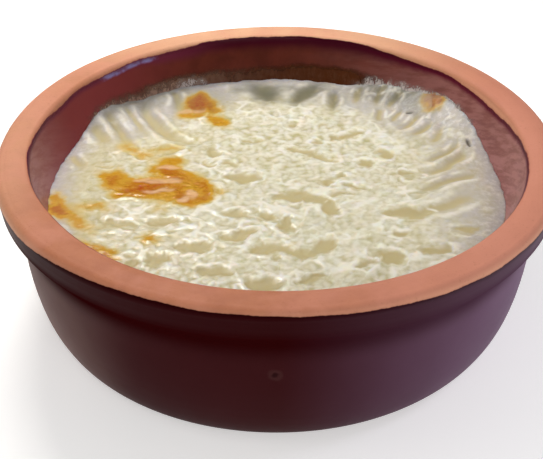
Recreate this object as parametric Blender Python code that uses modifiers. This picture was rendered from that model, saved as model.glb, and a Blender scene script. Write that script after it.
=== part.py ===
"""Oven-baked rice pudding in its small earthenware dish.

Two solids: the turned clay dish, and the pudding that fills it to its wrinkled milk skin.
Units are metres, +Z is up and the origin is the centre of the underside of the dish.
"""

import math

import bmesh
import bpy
import numpy as np

MM = 0.001

# Dish, outside
RIM_RADIUS = 65.0 * MM
DISH_HEIGHT = 43.0 * MM
RIM_CORNER = 1.2 * MM
RIM_CROWN = 0.3 * MM
COLLAR_DEPTH = 9.4 * MM
COLLAR_TAPER = 0.4 * MM
COLLAR_EDGE = 1.6 * MM
NECK_RADIUS = 60.8 * MM
NECK_DEPTH = 11.2 * MM
BASE_RADIUS = 48.4 * MM
BODY_BELLY = 2.1
BODY_TURN = 0.3
BODY_STEPS = 9

# Dish, inside
LIP_RADIUS = 57.4 * MM
LIP_CORNER = 1.5 * MM
FLOOR_RADIUS = 36.0 * MM
FLOOR_THICKNESS = 6.4 * MM
HOLLOW_BELLY = 1.3
HOLLOW_TURN = 0.6
TURN_STEPS = 64

# Pudding
FILL_DROP = 12.0 * MM
GAP = 0.3 * MM
SKIN_RINGS = 24
PUDDING_SKIRT = 4.0 * MM
SKIRT_STEPS = (0.0, 0.35, 0.72, 0.94, 1.0)
MENISCUS_WIDTH = 11.0 * MM
MENISCUS_RISE = 0.6 * MM
LUMP_HEIGHT = 0.16 * MM
LUMP_PITCH = 4.6 * MM
EDGE_FADE = 3.0 * MM

# Waves that make the rice lumps: share of the pitch, slant, phase (radians)
LUMP_WAVES = (
    (1.0, 0.45, 0.0),
    (0.95, -2.6, 0.0),
    (0.8, -0.8, 1.3),
    (0.83, 1.7, 0.4),
)

# Where the skin hangs up on the wall or sags away from it:
# middle (degrees), half width (degrees), rise (mm)
WALL_CLIMBS = (
    (47.0, 20.0, 4.6),
    (20.0, 16.0, 1.6),
    (142.0, 17.0, 3.0),
    (165.0, 14.0, 1.2),
    (88.0, 13.0, -2.0),
)

# Folds that run in from the wall:
# bearing at the wall (degrees), sweep to the inner end (degrees), length, half width, depth (mm)
FOLDS = (
    (-9.0, -20.0, 24.0, 2.0, 1.0),
    (5.0, -14.0, 21.0, 1.5, 1.0),
    (13.0, -9.0, 18.0, 1.4, 1.1),
    (20.0, -6.0, 16.0, 1.2, 1.0),
    (26.0, -3.0, 15.0, 1.2, 0.9),
    (32.0, -1.0, 14.0, 1.2, 0.9),
    (38.0, 1.0, 13.0, 1.2, 0.9),
    (45.0, 2.0, 12.0, 1.2, 0.8),
    (53.0, 1.0, 14.0, 1.4, 0.7),
    (62.0, 0.0, 12.0, 1.6, 0.7),
    (71.0, 1.0, 17.0, 1.3, 1.1),
    (82.0, -1.0, 10.0, 2.6, 1.1),
    (95.0, 2.0, 11.0, 3.2, 1.5),
    (109.0, 3.0, 14.0, 2.2, 0.9),
    (119.0, 4.0, 16.0, 1.7, 0.9),
    (127.0, 5.0, 17.0, 1.4, 0.9),
    (134.0, 6.0, 27.0, 1.8, 1.3),
    (142.0, 7.0, 20.0, 1.5, 0.9),
    (149.0, 7.0, 17.0, 1.6, 1.0),
    (157.0, 8.0, 15.0, 1.5, 0.8),
    (166.0, 8.0, 14.0, 1.5, 0.7),
    (177.0, 6.0, 11.0, 1.6, 0.5),
)

# Pools that sank between the rice while the skin set:
# across (x), away (y), half length, half width (mm), turn (degrees)
POOLS = (
    (-1.0, -27.3, 5.0, 2.4, 8.0),
    (5.5, -29.3, 3.2, 2.1, -45.0),
    (10.5, -25.5, 3.2, 2.1, 40.0),
    (4.0, -4.8, 4.6, 2.3, 12.0),
    (11.2, -9.2, 3.8, 2.1, -55.0),
    (1.6, -17.4, 3.4, 1.8, 60.0),
    (-3.0, -14.0, 2.8, 2.2, -40.0),
    (-10.2, -13.6, 2.9, 2.1, 0.0),
    (-8.0, -22.4, 3.6, 2.0, 35.0),
    (-19.6, -26.6, 4.6, 2.4, 5.0),
    (-26.0, -17.4, 4.6, 2.0, -4.0),
    (-36.0, -17.2, 4.4, 2.0, 4.0),
    (-12.4, -35.4, 4.2, 2.3, 0.0),
    (-31.4, -31.0, 2.6, 2.2, -30.0),
    (-25.4, -31.6, 2.4, 2.0, 0.0),
    (-3.6, -39.4, 5.0, 2.0, 0.0),
    (-43.0, -10.8, 3.4, 2.2, 0.0),
    (-34.5, 13.2, 4.0, 2.0, -32.0),
    (-27.6, 15.2, 3.2, 1.9, 14.0),
    (-15.0, 15.4, 3.2, 1.8, -58.0),
    (-8.0, 2.2, 3.8, 3.0, 0.0),
    (7.6, 14.0, 5.6, 1.7, -10.0),
    (18.0, 22.8, 5.0, 1.8, 14.0),
    (22.0, 8.6, 3.2, 2.1, 0.0),
    (26.2, 14.0, 3.0, 1.9, -10.0),
    (28.2, -13.4, 5.2, 2.5, 12.0),
    (28.6, -20.6, 2.5, 2.1, 0.0),
    (35.0, -27.2, 3.0, 2.1, 0.0),
    (24.4, -31.0, 3.0, 3.0, 0.0),
    (43.0, -19.0, 3.2, 1.8, 20.0),
)
POOL_DEPTH = 1.0 * MM
POOL_LIP = 0.25 * MM


def arc(centre_r, centre_z, radius, start, end, steps):
    """Points (r, z) on a circular arc between two angles in degrees, both ends included."""
    angles = np.radians(np.linspace(start, end, steps + 1))
    return [(centre_r + radius * math.cos(a), centre_z + radius * math.sin(a)) for a in angles]


def hollow_radius(z):
    """Inner radius of the dish at height z: straight below the lip, then rounding into the floor."""
    depth = (DISH_HEIGHT - z) / (DISH_HEIGHT - FLOOR_THICKNESS)
    full = 1.0 - np.clip(depth, 0.0, 1.0) ** HOLLOW_BELLY
    return FLOOR_RADIUS + (LIP_RADIUS - FLOOR_RADIUS) * full**HOLLOW_TURN


def body_radius(z):
    """Outer radius below the collar at height z: a full belly that turns in to the base."""
    depth = (DISH_HEIGHT - NECK_DEPTH - z) / (DISH_HEIGHT - NECK_DEPTH)
    full = 1.0 - np.clip(depth, 0.0, 1.0) ** BODY_BELLY
    return BASE_RADIUS + (NECK_RADIUS - BASE_RADIUS) * full**BODY_TURN


def skirt_heights():
    """Heights at which the pudding and the dish wall share their rings, from the fill to the floor."""
    top = DISH_HEIGHT - FILL_DROP - PUDDING_SKIRT
    return [top + (FLOOR_THICKNESS - top) * step for step in SKIRT_STEPS]


def dish_profile():
    """Half section of the dish: up the hollow, over the rim, down the outside, in along the base."""
    points = [(0.0, FLOOR_THICKNESS)]
    points += [(hollow_radius(z), z) for z in reversed(skirt_heights())]
    wall_top = DISH_HEIGHT - LIP_CORNER - RIM_CROWN
    for z in np.linspace(skirt_heights()[0], wall_top, 6)[1:-1]:
        points.append((hollow_radius(z), z))
    lip_edge = hollow_radius(wall_top)
    points += arc(lip_edge + LIP_CORNER, wall_top, LIP_CORNER, 180.0, 90.0, 3)
    points.append((0.5 * (LIP_RADIUS + RIM_RADIUS), DISH_HEIGHT))
    corner_z = DISH_HEIGHT - RIM_CROWN - RIM_CORNER
    points += arc(RIM_RADIUS - RIM_CORNER, corner_z, RIM_CORNER, 90.0, 0.0, 3)
    collar_radius = RIM_RADIUS - COLLAR_TAPER
    collar_z = DISH_HEIGHT - COLLAR_DEPTH + COLLAR_EDGE
    points += arc(collar_radius - COLLAR_EDGE, collar_z, COLLAR_EDGE, 0.0, -90.0, 3)
    for turn in np.linspace(0.0, 0.5 * math.pi, BODY_STEPS + 1):
        depth = math.sin(turn) ** (2.0 / BODY_BELLY)
        z = (DISH_HEIGHT - NECK_DEPTH) * (1.0 - depth)
        points.append((body_radius(z), z))
    points.append((0.0, 0.0))
    return points


def wall_climb(bearing):
    """How far the skin stands above the fill where it meets the wall, at bearings in degrees."""
    rise = np.full_like(bearing, MENISCUS_RISE)
    for middle, half_width, height in WALL_CLIMBS:
        away = (bearing - middle + 180.0) % 360.0 - 180.0
        rise += height * MM * np.exp(-((away / half_width) ** 2))
    return rise


def fold_relief(radius, bearing, wall):
    """Valleys along curves of constant sweep: deepest by the wall, fading out at the inner end."""
    relief = np.zeros_like(radius)
    for start, sweep, length, half_width, depth in FOLDS:
        run = np.clip((wall - radius) / (length * MM), 0.0, 1.2)
        away = (bearing - start - sweep * run + 180.0) % 360.0 - 180.0
        across = radius * np.radians(away) / (half_width * MM)
        relief -= depth * MM * np.exp(-(across**2)) * np.clip(1.2 - run, 0.0, 1.0) ** 0.7
    return relief


def pool_relief(x, y):
    """Flat-bottomed sunken pools with a low raised lip, each a turned ellipse."""
    relief = np.zeros_like(x)
    for across, away, half_length, half_width, turn in POOLS:
        c, s = math.cos(math.radians(turn)), math.sin(math.radians(turn))
        u = ((x - across * MM) * c + (y - away * MM) * s) / (half_length * MM)
        v = ((y - away * MM) * c - (x - across * MM) * s) / (half_width * MM)
        span = np.hypot(u, v)
        relief -= POOL_DEPTH / (1.0 + span**6)
        relief += POOL_LIP * np.exp(-(((span - 1.35) / 0.3) ** 2))
    return relief


def lump_relief(x, y):
    """Rice under the skin: waves that cross at unlike angles, multiplied two by two and added."""
    waves = []
    for share, slant, phase in LUMP_WAVES:
        along = (x + slant * y) / math.hypot(1.0, slant)
        waves.append(np.sin(2.0 * math.pi * share * along / LUMP_PITCH + phase))
    return LUMP_HEIGHT * (waves[0] * waves[1] + waves[2] * waves[3])


def skin_point(x, y):
    """The point of the skin over a unit disc's x, y: scaled out to the wall and lifted to the relief."""
    bearing = np.degrees(np.arctan2(y, x))
    share = np.hypot(x, y)
    fill = DISH_HEIGHT - FILL_DROP
    rise = wall_climb(bearing)
    wall = hollow_radius(fill + rise) - GAP
    radius = share * wall
    x, y = wall * x, wall * y
    near_wall = np.clip(1.0 - (wall - radius) / MENISCUS_WIDTH, 0.0, 1.0)
    height = fill + rise * near_wall**2
    inside = 1.0 - np.clip(1.0 - (wall - radius) / EDGE_FADE, 0.0, 1.0) ** 2
    relief = fold_relief(radius, bearing, wall) + pool_relief(x, y) + lump_relief(x, y)
    return x, y, height + relief * inside


def hexagon_to_disc(x, y):
    """A hexagon with corners at 30 degrees and every 60, spread evenly to a disc ring by ring."""
    bearing = np.arctan2(y, x) - math.radians(30.0)
    sixth = math.radians(60.0)
    side = np.floor(bearing / sixth + 1e-6)
    within = bearing - side * sixth
    share = np.sin(within) / (np.sin(within) + np.sin(sixth - within))
    ring = np.hypot(x, y) * np.cos(within - 0.5 * sixth) / math.cos(0.5 * sixth)
    spread = (side + share) * sixth + math.radians(30.0)
    return ring * np.cos(spread), ring * np.sin(spread)


def pudding_mesh():
    """Skin: a hexagon of even triangles made a disc. Its edge is then extruded down the hollow."""
    bm = bmesh.new()
    bmesh.ops.create_circle(bm, cap_ends=True, cap_tris=True, segments=6, radius=1.0)
    bmesh.ops.subdivide_edges(bm, edges=bm.edges[:], cuts=SKIN_RINGS - 1, use_grid_fill=True)
    flat = np.array([v.co for v in bm.verts])
    placed = np.stack(skin_point(*hexagon_to_disc(flat[:, 0], flat[:, 1])), axis=1)
    for vert, place in zip(bm.verts, placed):
        vert.co = place
    edge = [e for e in bm.edges if e.is_boundary]
    for z in skirt_heights():
        grown = bmesh.ops.extrude_edge_only(bm, edges=edge)["geom"]
        for vert in (g for g in grown if isinstance(g, bmesh.types.BMVert)):
            scale = (hollow_radius(z) - GAP) / math.hypot(vert.co.x, vert.co.y)
            vert.co = (vert.co.x * scale, vert.co.y * scale, z + GAP)
        edge = [g for g in grown if isinstance(g, bmesh.types.BMEdge)]
    bmesh.ops.holes_fill(bm, edges=edge)
    bmesh.ops.recalc_face_normals(bm, faces=bm.faces[:])
    mesh = bpy.data.meshes.new("pudding")
    bm.to_mesh(mesh)
    bm.free()
    mesh.shade_smooth()
    mesh.set_sharp_from_angle(angle=math.radians(50.0))
    return mesh


def dish_mesh():
    """The half section as a chain of edges in the XZ plane, for the Screw modifier."""
    points = [(r, 0.0, z) for r, z in dish_profile()]
    edges = [(i, i + 1) for i in range(len(points) - 1)]
    mesh = bpy.data.meshes.new("dish")
    mesh.from_pydata(points, edges, [])
    return mesh


def material(name, colour, roughness):
    """A plain Principled material."""
    made = bpy.data.materials.new(name)
    made.use_nodes = True
    shader = made.node_tree.nodes["Principled BSDF"]
    shader.inputs["Base Color"].default_value = (*colour, 1.0)
    shader.inputs["Roughness"].default_value = roughness
    shader.inputs["Metallic"].default_value = 0.0
    return made


def add_object(name, mesh, finish, collection):
    """One named object with its own material, at the origin."""
    made = bpy.data.objects.new(name, mesh)
    made.data.materials.append(finish)
    collection.objects.link(made)
    return made


def add_dish(collection):
    """The turned clay dish."""
    glaze = material("dark_glaze_on_clay", (0.10, 0.03, 0.03), 0.3)
    dish = add_object("dish", dish_mesh(), glaze, collection)
    turn = dish.modifiers.new("turn", "SCREW")
    turn.axis = "Z"
    turn.steps = TURN_STEPS
    turn.render_steps = TURN_STEPS
    turn.use_merge_vertices = True
    turn.merge_threshold = 0.00001
    turn.use_smooth_shade = True


def add_pudding(collection):
    """The pudding, solid from the floor of the dish to its skin."""
    milk = material("baked_milk_skin", (0.85, 0.80, 0.62), 0.35)
    add_object("pudding", pudding_mesh(), milk, collection)


def main():
    for old in list(bpy.data.objects):
        bpy.data.objects.remove(old, do_unlink=True)
    collection = bpy.data.collections.new("rice_pudding")
    bpy.context.scene.collection.children.link(collection)
    add_dish(collection)
    add_pudding(collection)


main()
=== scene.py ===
"""Looks of an oven-baked rice pudding in its earthenware dish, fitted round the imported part.

Lengths in the settings are metres, angles radians. Lists of places on the skin are millimetres and degrees.
The dish turns about the Z axis, the floor is at zero and the side that is seen first looks along -Y.
"""

import math

import bpy
import numpy as np
from mathutils import Matrix, Vector


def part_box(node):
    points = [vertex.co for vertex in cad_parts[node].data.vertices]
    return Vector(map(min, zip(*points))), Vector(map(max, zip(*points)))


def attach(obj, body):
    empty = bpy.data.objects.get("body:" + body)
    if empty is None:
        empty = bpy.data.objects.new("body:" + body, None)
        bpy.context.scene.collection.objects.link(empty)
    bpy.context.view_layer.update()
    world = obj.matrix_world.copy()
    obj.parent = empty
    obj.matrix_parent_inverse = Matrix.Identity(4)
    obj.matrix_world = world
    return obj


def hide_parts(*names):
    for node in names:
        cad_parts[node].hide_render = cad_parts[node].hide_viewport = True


bl_info = {
    "name": "Rice pudding",
    "version": (1, 0, 0),
    "blender": (4, 5, 0),
    "location": "3D View > Sidebar > Pudding",
    "description": "Builds a baked rice pudding in its clay dish round the packed part",
    "category": "Object",
}

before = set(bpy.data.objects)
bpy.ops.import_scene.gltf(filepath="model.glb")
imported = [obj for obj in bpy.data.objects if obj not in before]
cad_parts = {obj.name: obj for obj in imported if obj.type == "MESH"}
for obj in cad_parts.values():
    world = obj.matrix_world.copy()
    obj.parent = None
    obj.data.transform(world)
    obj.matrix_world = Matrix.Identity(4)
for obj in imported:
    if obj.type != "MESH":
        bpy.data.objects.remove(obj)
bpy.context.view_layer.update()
DISH_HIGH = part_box("dish")[1]
PUDDING_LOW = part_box("pudding")[0]

MM = 0.001

# Steps along each stretch of the dish's section, from the hollow over the rim to the foot
WALL_STEPS = 24
LIP_STEPS = 14
CROWN_STEPS = 26
CORNER_STEPS = 10
COLLAR_STEPS = 18
BODY_STEPS = 46
FOOT_STEPS = 12

# How finely the pieces are divided: steps round the dish, places along a side of the skin,
# rings of the pudding's hidden side, and columns and rows of the two films
DISH_TURNS = 384
SKIN_SIDE = 301
SKIRT_RINGS = 5
RING_GRID = (420, 26)
MILK_GRID = (560, 22)

# Steps along the bend of a fold
BEND_STEPS = 48

# How far the skin's edge reaches into the wall
SKIN_TUCK = 0.1 * MM

# How far below the skin the pudding's hidden side starts, and how far it keeps off the dish
SKIRT_DROP = 4.0 * MM
SKIRT_GAP = 0.05 * MM

# How far the films start below the skin's edge and end below the rim, and their least thickness
FILM_START = 1.2 * MM
FILM_END = 4.2 * MM
FILM_LEAST = 0.03 * MM

# Where the skin hangs up on the wall or sags away from it:
# middle (degrees), half width (degrees), rise (mm)
WALL_CLIMBS = (
    (37.0, 19.0, 6.8),
    (59.0, 7.0, 1.5),
    (124.0, 12.0, 1.3),
    (145.0, 10.5, 3.7),
    (147.0, 41.0, -1.5),
    (181.0, 14.0, -0.6),
    (25.0, 46.0, -2.9),
)

# Where the skin's edge on the wall is more ragged: middle (degrees), half width (degrees), times more
RAGGED = ((48.0, 18.0, 1.6), (140.0, 15.0, 0.4))

# Where the skin is crumbly and dry near the wall: middle (degrees), half width (degrees), share
CRUMBS = ((45.0, 26.0, 1.0), (-15.0, 25.0, 0.5), (150.0, 25.0, 0.4))

# Folds that run in from the wall, each a bend through three places:
# wall x, y, bend x, y, inner end x, y, half width, depth (mm)
FOLDS = (
    (47.8, 16.9, 44.0, 4.4, 31.1, 4.4, 1.3, 0.75),
    (46.4, 20.4, 42.4, 10.1, 34.1, 10.1, 1.1, 0.65),
    (43.5, 26.8, 42.0, 21.9, 37.6, 19.6, 1.0, 0.50),
    (41.0, 29.5, 38.0, 25.5, 33.0, 21.3, 1.1, 0.65),
    (38.0, 34.0, 35.5, 28.5, 31.0, 26.0, 1.0, 0.50),
    (34.0, 37.0, 31.0, 32.0, 28.0, 29.5, 0.8, 0.30),
    (27.5, 38.0, 27.0, 34.0, 25.5, 30.0, 1.1, 0.50),
    (23.0, 49.0, 22.0, 45.0, 20.0, 39.0, 1.1, 0.35),
    (15.5, 47.0, 15.0, 41.0, 14.0, 34.5, 1.2, 0.75),
    (49.0, 4.9, 42.8, -0.2, 31.5, -4.2, 1.3, 0.65),
    (46.0, -4.0, 40.5, -12.5, 24.0, -15.0, 1.9, 0.50),
    (29.0, 47.5, 28.0, 43.0, 25.5, 39.0, 1.2, 0.45),
    (34.0, 43.5, 31.5, 40.5, 29.5, 37.0, 1.0, 0.40),
    (-35.1, 40.7, -33.1, 22.5, -19.4, 18.7, 1.7, 1.05),
    (-28.0, 47.0, -26.5, 42.0, -25.5, 34.0, 1.4, 0.50),
    (-40.5, 36.8, -37.1, 31.1, -32.2, 20.4, 1.0, 0.40),
    (-44.1, 32.1, -43.0, 26.6, -34.1, 13.9, 1.7, 0.72),
    (-47.9, 26.6, -46.0, 22.5, -42.5, 17.5, 1.8, 0.55),
    (-51.0, 14.0, -49.0, 10.0, -47.0, 6.5, 1.2, 0.36),
    (-3.5, 52.0, -2.6, 46.0, -2.6, 41.0, 3.0, 0.50),
    (11.5, 50.5, 8.0, 45.5, 3.5, 40.0, 2.0, 0.50),
)

# Grey shadow painted on the skin near the wall:
# across, away, half length, half width (mm), turn (degrees), strength
PAINTED_SHADOWS = (
    (31.0, 45.5, 9.0, 4.0, -38.0, 0.50),
    (-38.0, 38.0, 9.0, 3.5, 45.0, 0.30),
    (-3.0, 48.0, 8.5, 3.8, 0.0, 0.80),
    (-2.6, 44.4, 3.6, 4.2, 0.0, 0.78),
    (8.0, 45.6, 7.5, 3.0, 56.0, 0.84),
    (15.6, 44.0, 1.8, 5.4, 0.0, 0.62),
    (22.4, 46.0, 2.6, 4.6, -10.0, 0.34),
    (28.0, 44.5, 8.0, 4.6, -28.0, 0.48),
    (37.0, 38.0, 8.0, 4.4, -50.0, 0.42),
    (42.0, 38.5, 3.4, 4.4, 10.0, 0.20),
    (-20.4, 41.5, 8.0, 8.0, 0.0, 0.28),
    (-32.0, 42.0, 9.0, 4.4, 36.0, 0.32),
    (-42.0, 32.0, 9.0, 4.4, 56.0, 0.30),
)

# Pools that sank between the rice while the skin set:
# across (x), away (y), half length, half width (mm), turn (degrees)
POOLS = (
    (-1.2, -27.8, 5.4, 2.3, 4.0),
    (4.8, -29.0, 3.8, 2.3, -35.0),
    (9.8, -27.4, 4.4, 2.1, 36.0),
    (3.4, -6.0, 4.8, 2.2, 12.0),
    (8.6, -7.0, 3.4, 2.1, -30.0),
    (12.2, -10.8, 3.4, 2.0, -52.0),
    (1.6, -18.0, 3.4, 1.8, 60.0),
    (-3.0, -14.2, 2.8, 2.1, -40.0),
    (-10.2, -14.0, 2.9, 2.0, 0.0),
    (-8.0, -23.0, 3.6, 1.8, 35.0),
    (-19.6, -27.2, 4.4, 2.3, 5.0),
    (-26.0, -18.0, 4.4, 1.8, -4.0),
    (-36.0, -17.6, 4.2, 1.7, 4.0),
    (-12.4, -36.4, 4.2, 2.1, 0.0),
    (-31.4, -32.0, 2.6, 2.2, -30.0),
    (-25.4, -32.4, 2.2, 1.9, 0.0),
    (-3.6, -40.4, 5.0, 2.0, 0.0),
    (-34.5, 13.2, 4.0, 1.8, -32.0),
    (-27.0, 15.6, 3.2, 1.7, 14.0),
    (-15.6, 14.6, 3.2, 1.6, -58.0),
    (-8.0, 2.6, 3.8, 2.9, 0.0),
    (7.6, 14.2, 5.6, 1.3, -10.0),
    (12.2, 11.8, 2.6, 1.4, -30.0),
    (18.6, 22.6, 5.0, 1.3, 14.0),
    (22.0, 8.4, 3.2, 1.8, 0.0),
    (26.2, 13.8, 3.0, 1.6, -10.0),
    (29.6, -13.0, 5.4, 2.1, 8.0),
    (28.2, -21.4, 2.5, 1.9, 10.0),
    (35.0, -27.8, 3.0, 2.0, 0.0),
    (24.4, -31.6, 3.0, 3.0, 0.0),
    (44.0, -19.6, 3.4, 1.6, 20.0),
    (7.6, -38.6, 3.0, 1.4, 10.0),
    (18.4, -33.8, 3.0, 1.2, 0.0),
    (12.6, 0.2, 1.8, 1.6, 0.0),
    (19.2, -2.6, 1.9, 1.1, -25.0),
    (14.6, -5.8, 2.0, 1.1, 10.0),
    (-12.4, 7.8, 1.8, 1.5, 0.0),
    (-16.8, 8.6, 1.4, 1.1, 0.0),
    (-7.0, 20.4, 2.2, 1.0, 0.0),
    (4.6, 27.4, 1.6, 1.2, 0.0),
    (10.2, 20.2, 1.7, 1.0, 0.0),
    (31.6, 3.6, 2.4, 1.4, 0.0),
    (15.4, 2.8, 1.6, 1.1, 0.0),
    (-14.0, -4.4, 1.8, 1.6, 0.0),
)

# Places that browned in the oven: across, away, half length, half width (mm), turn (degrees), strength
BROWNED = (
    (-31.2, -2.6, 3.6, 2.8, 10.0, 0.97),
    (-31.4, -2.4, 5.2, 4.0, 5.0, 0.45),
    (-25.8, -1.8, 2.8, 1.5, 0.0, 0.80),
    (-35.8, -4.6, 3.8, 2.5, 12.0, 0.80),
    (-27.0, -6.2, 6.6, 2.9, 0.0, 0.52),
    (-39.4, 0.4, 2.5, 2.7, 0.0, 0.84),
    (-40.6, 4.0, 2.8, 3.0, 0.0, 0.42),
    (-34.0, 0.6, 5.0, 2.2, 10.0, 0.34),
    (-27.0, 4.2, 3.6, 2.2, -15.0, 0.80),
    (-27.6, 7.2, 2.4, 3.2, 20.0, 0.50),
    (-25.4, 9.6, 2.9, 2.2, 10.0, 0.62),
    (-24.0, 2.2, 3.6, 2.4, -30.0, 0.70),
    (-19.6, 1.6, 3.4, 2.4, -50.0, 0.55),
    (-17.0, -3.6, 1.8, 3.8, 8.0, 0.74),
    (-18.6, -8.6, 3.2, 2.2, 20.0, 0.76),
    (-22.6, -5.6, 1.9, 2.8, 20.0, 0.80),
    (-20.6, -3.0, 4.0, 3.4, 0.0, 0.40),
    (-13.5, -4.6, 2.2, 2.4, 0.0, 0.36),
    (-27.2, -11.6, 1.7, 1.7, 0.0, 0.36),
    (-42.6, -10.6, 4.4, 2.3, 0.0, 0.46),
    (-51.6, -8.6, 1.8, 5.0, 8.0, 0.66),
    (-50.6, -12.4, 1.6, 3.0, 25.0, 0.84),
    (-47.4, -15.2, 5.0, 2.2, -42.0, 0.55),
    (-43.0, -19.4, 3.6, 1.8, -42.0, 0.36),
    (-44.2, -25.2, 2.6, 1.3, -42.0, 0.50),
    (-39.4, -28.6, 4.4, 1.6, -42.0, 0.66),
    (-36.6, -30.6, 3.0, 2.6, -40.0, 0.46),
    (-28.6, -24.5, 1.7, 1.9, 0.0, 0.66),
    (-34.0, 14.0, 4.6, 2.2, -40.0, 0.44),
    (-27.0, 16.0, 4.0, 2.1, 14.0, 0.40),
    (-38.4, 17.6, 2.0, 2.4, 0.0, 0.36),
    (-20.6, 41.6, 2.8, 4.8, 8.0, 0.97),
    (-18.4, 38.2, 3.4, 2.6, -25.0, 0.84),
    (-22.6, 38.0, 3.0, 3.0, 0.0, 0.60),
    (-22.4, 33.4, 3.6, 1.4, 0.0, 0.72),
    (-15.8, 31.2, 2.8, 2.2, -40.0, 0.62),
    (-14.6, 28.6, 2.4, 1.8, -40.0, 0.45),
    (41.4, 35.8, 2.2, 3.3, 10.0, 0.97),
    (41.4, 36.4, 1.5, 2.3, 0.0, 0.90),
)

# Small dark holes near the wall: across, away, half length, half width (mm), turn (degrees)
PITS = (
    (48.4, 18.2, 0.35, 1.3, 12.0),
    (35.0, 34.0, 0.8, 0.3, 0.0),
)

# Ridges inside the browned places that stayed pink and pale: as above, without a strength
PALE_RIDGES = (
    (-27.4, 0.5, 4.2, 0.7, 3.0),
    (-20.0, -5.6, 1.0, 1.7, 20.0),
    (-21.8, -7.4, 1.6, 0.6, 30.0),
    (-22.6, 35.8, 3.4, 0.9, 4.0),
    (-32.4, 1.0, 1.8, 0.7, 10.0),
    (-26.4, 6.4, 2.6, 0.6, -10.0),
    (-28.0, -3.9, 3.4, 0.6, 8.0),
)

# Slow waves of the hand-turned form: waves round the dish, where they start (radians), strength
SLOW_WAVES = ((2.0, 0.6, 1.0), (3.0, 2.1, 0.6), (7.0, 4.0, 0.35))

# Turning marks on the body: height of one turn of a coarse and of a fine spiral
COARSE_TURN = 2.6 * MM
FINE_TURN = 1.1 * MM

# Where the rim stands out past a true circle: middle (degrees), half width (degrees), outwards (mm)
OUT_OF_ROUND = ((-38.0, 36.0, 1.0), (50.0, 50.0, 0.8), (140.0, 25.0, 0.6), (212.0, 20.0, 0.5))

# Where the lip stands in over the hollow: middle (degrees), half width (degrees), inwards (mm)
LIP_BULGE = ((213.0, 16.0, 1.2),)

# How far below the rim's top the glaze starts, inside and outside, on top of its least depth:
# middle (degrees), half width (degrees), further depth (mm)
GLAZE_INSIDE = (
    (20.0, 20.0, 2.6),
    (52.0, 13.0, 1.5),
    (122.0, 14.0, 0.9),
    (140.0, 8.0, 0.8),
    (160.0, 14.0, 1.4),
    (300.0, 40.0, 0.8),
)
GLAZE_OUTSIDE = ((-45.0, 40.0, 1.6), (20.0, 30.0, 0.9), (120.0, 35.0, 0.9), (205.0, 24.0, 2.1))
GLAZE_LEAST_INSIDE = 0.5
GLAZE_LEAST_OUTSIDE = 0.8

# Where the two films lie on the wall (degrees), and how thickly:
# middle (degrees), half width (degrees), cover
RING_SPAN = (52.0, 170.0)
RING_COVER = ((72.0, 10.0, 1.1), (90.0, 14.0, 0.9), (116.0, 14.0, 0.9), (138.0, 12.0, 0.4))
MILK_SPAN = (14.0, 172.0)
MILK_COVER = (
    (62.5, 3.6, 0.75),
    (50.0, 10.0, 0.6),
    (34.0, 14.0, 0.45),
    (114.0, 3.5, 0.5),
    (123.0, 6.0, 0.7),
    (140.0, 14.0, 0.7),
)

# The sky's colour, and soft lights, all aimed at one place (m):
# name, setting with its watts, place (m), width and depth (m), colour
SKY_COLOUR = (1.0, 0.99, 0.98, 1.0)
LIGHT_AIM = (0.0, 0.0, 0.03)
LIGHTS = (
    ("back_light", "key", (-0.08, 0.13, 0.25), (0.09, 0.06), (1.0, 0.96, 0.90)),
    ("right_light", "side", (0.60, 0.06, 0.62), (0.20, 0.20), (0.86, 0.84, 1.0)),
    ("front_light", "front", (0.15, -0.80, 0.55), (0.60, 0.40), (1.0, 0.97, 0.95)),
    ("left_light", "fill", (-0.60, -0.10, 0.45), (0.30, 0.40), (1.0, 0.92, 0.86)),
)


def scatter(i, j, seed):
    """A repeatable number from 0 to 1 for every pair of whole numbers."""
    mixed = np.sin(i * 127.1 + j * 311.7 + seed * 74.7) * 43758.5453
    return mixed - np.floor(mixed)


def mottle(x, y, pitch, seed):
    """Smooth random ground from -1 to 1: numbers at the corners of squares, eased from one to the next."""
    u, v = x / pitch, y / pitch
    i, j = np.floor(u), np.floor(v)
    a, b = u - i, v - j
    a, b = a * a * (3.0 - 2.0 * a), b * b * (3.0 - 2.0 * b)
    near = scatter(i, j, seed) * (1.0 - a) + scatter(i + 1.0, j, seed) * a
    far = scatter(i, j + 1.0, seed) * (1.0 - a) + scatter(i + 1.0, j + 1.0, seed) * a
    return 2.0 * (near * (1.0 - b) + far * b) - 1.0


def layered(x, y, pitch, seed, layers):
    """Mottle in layers, each half as coarse and half as strong as the one before."""
    total = np.zeros_like(x)
    for layer in range(layers):
        total += 0.5**layer * mottle(x, y, pitch * 0.5**layer, seed + layer)
    return total


def around():
    """The nine squares in and about a square, as steps across and away."""
    return [(i, j) for i in (-1.0, 0.0, 1.0) for j in (-1.0, 0.0, 1.0)]


def cells(x, y, pitch, seed):
    """Distance to the wall of the cell a place lies in, and that cell's tone. Each square has one centre."""
    u, v = x / pitch, y / pitch
    first, second, tone = np.full_like(x, 9.0), np.full_like(x, 9.0), np.zeros_like(x)
    for di, dj in around():
        i, j = np.floor(u) + di, np.floor(v) + dj
        away = np.hypot(u - i - scatter(i, j, seed), v - j - scatter(i, j, seed + 1))
        tone = np.where(away < first, scatter(i, j, seed + 2), tone)
        second = np.minimum(second, np.maximum(first, away))
        first = np.minimum(first, away)
    return (second - first) * pitch, tone


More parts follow.
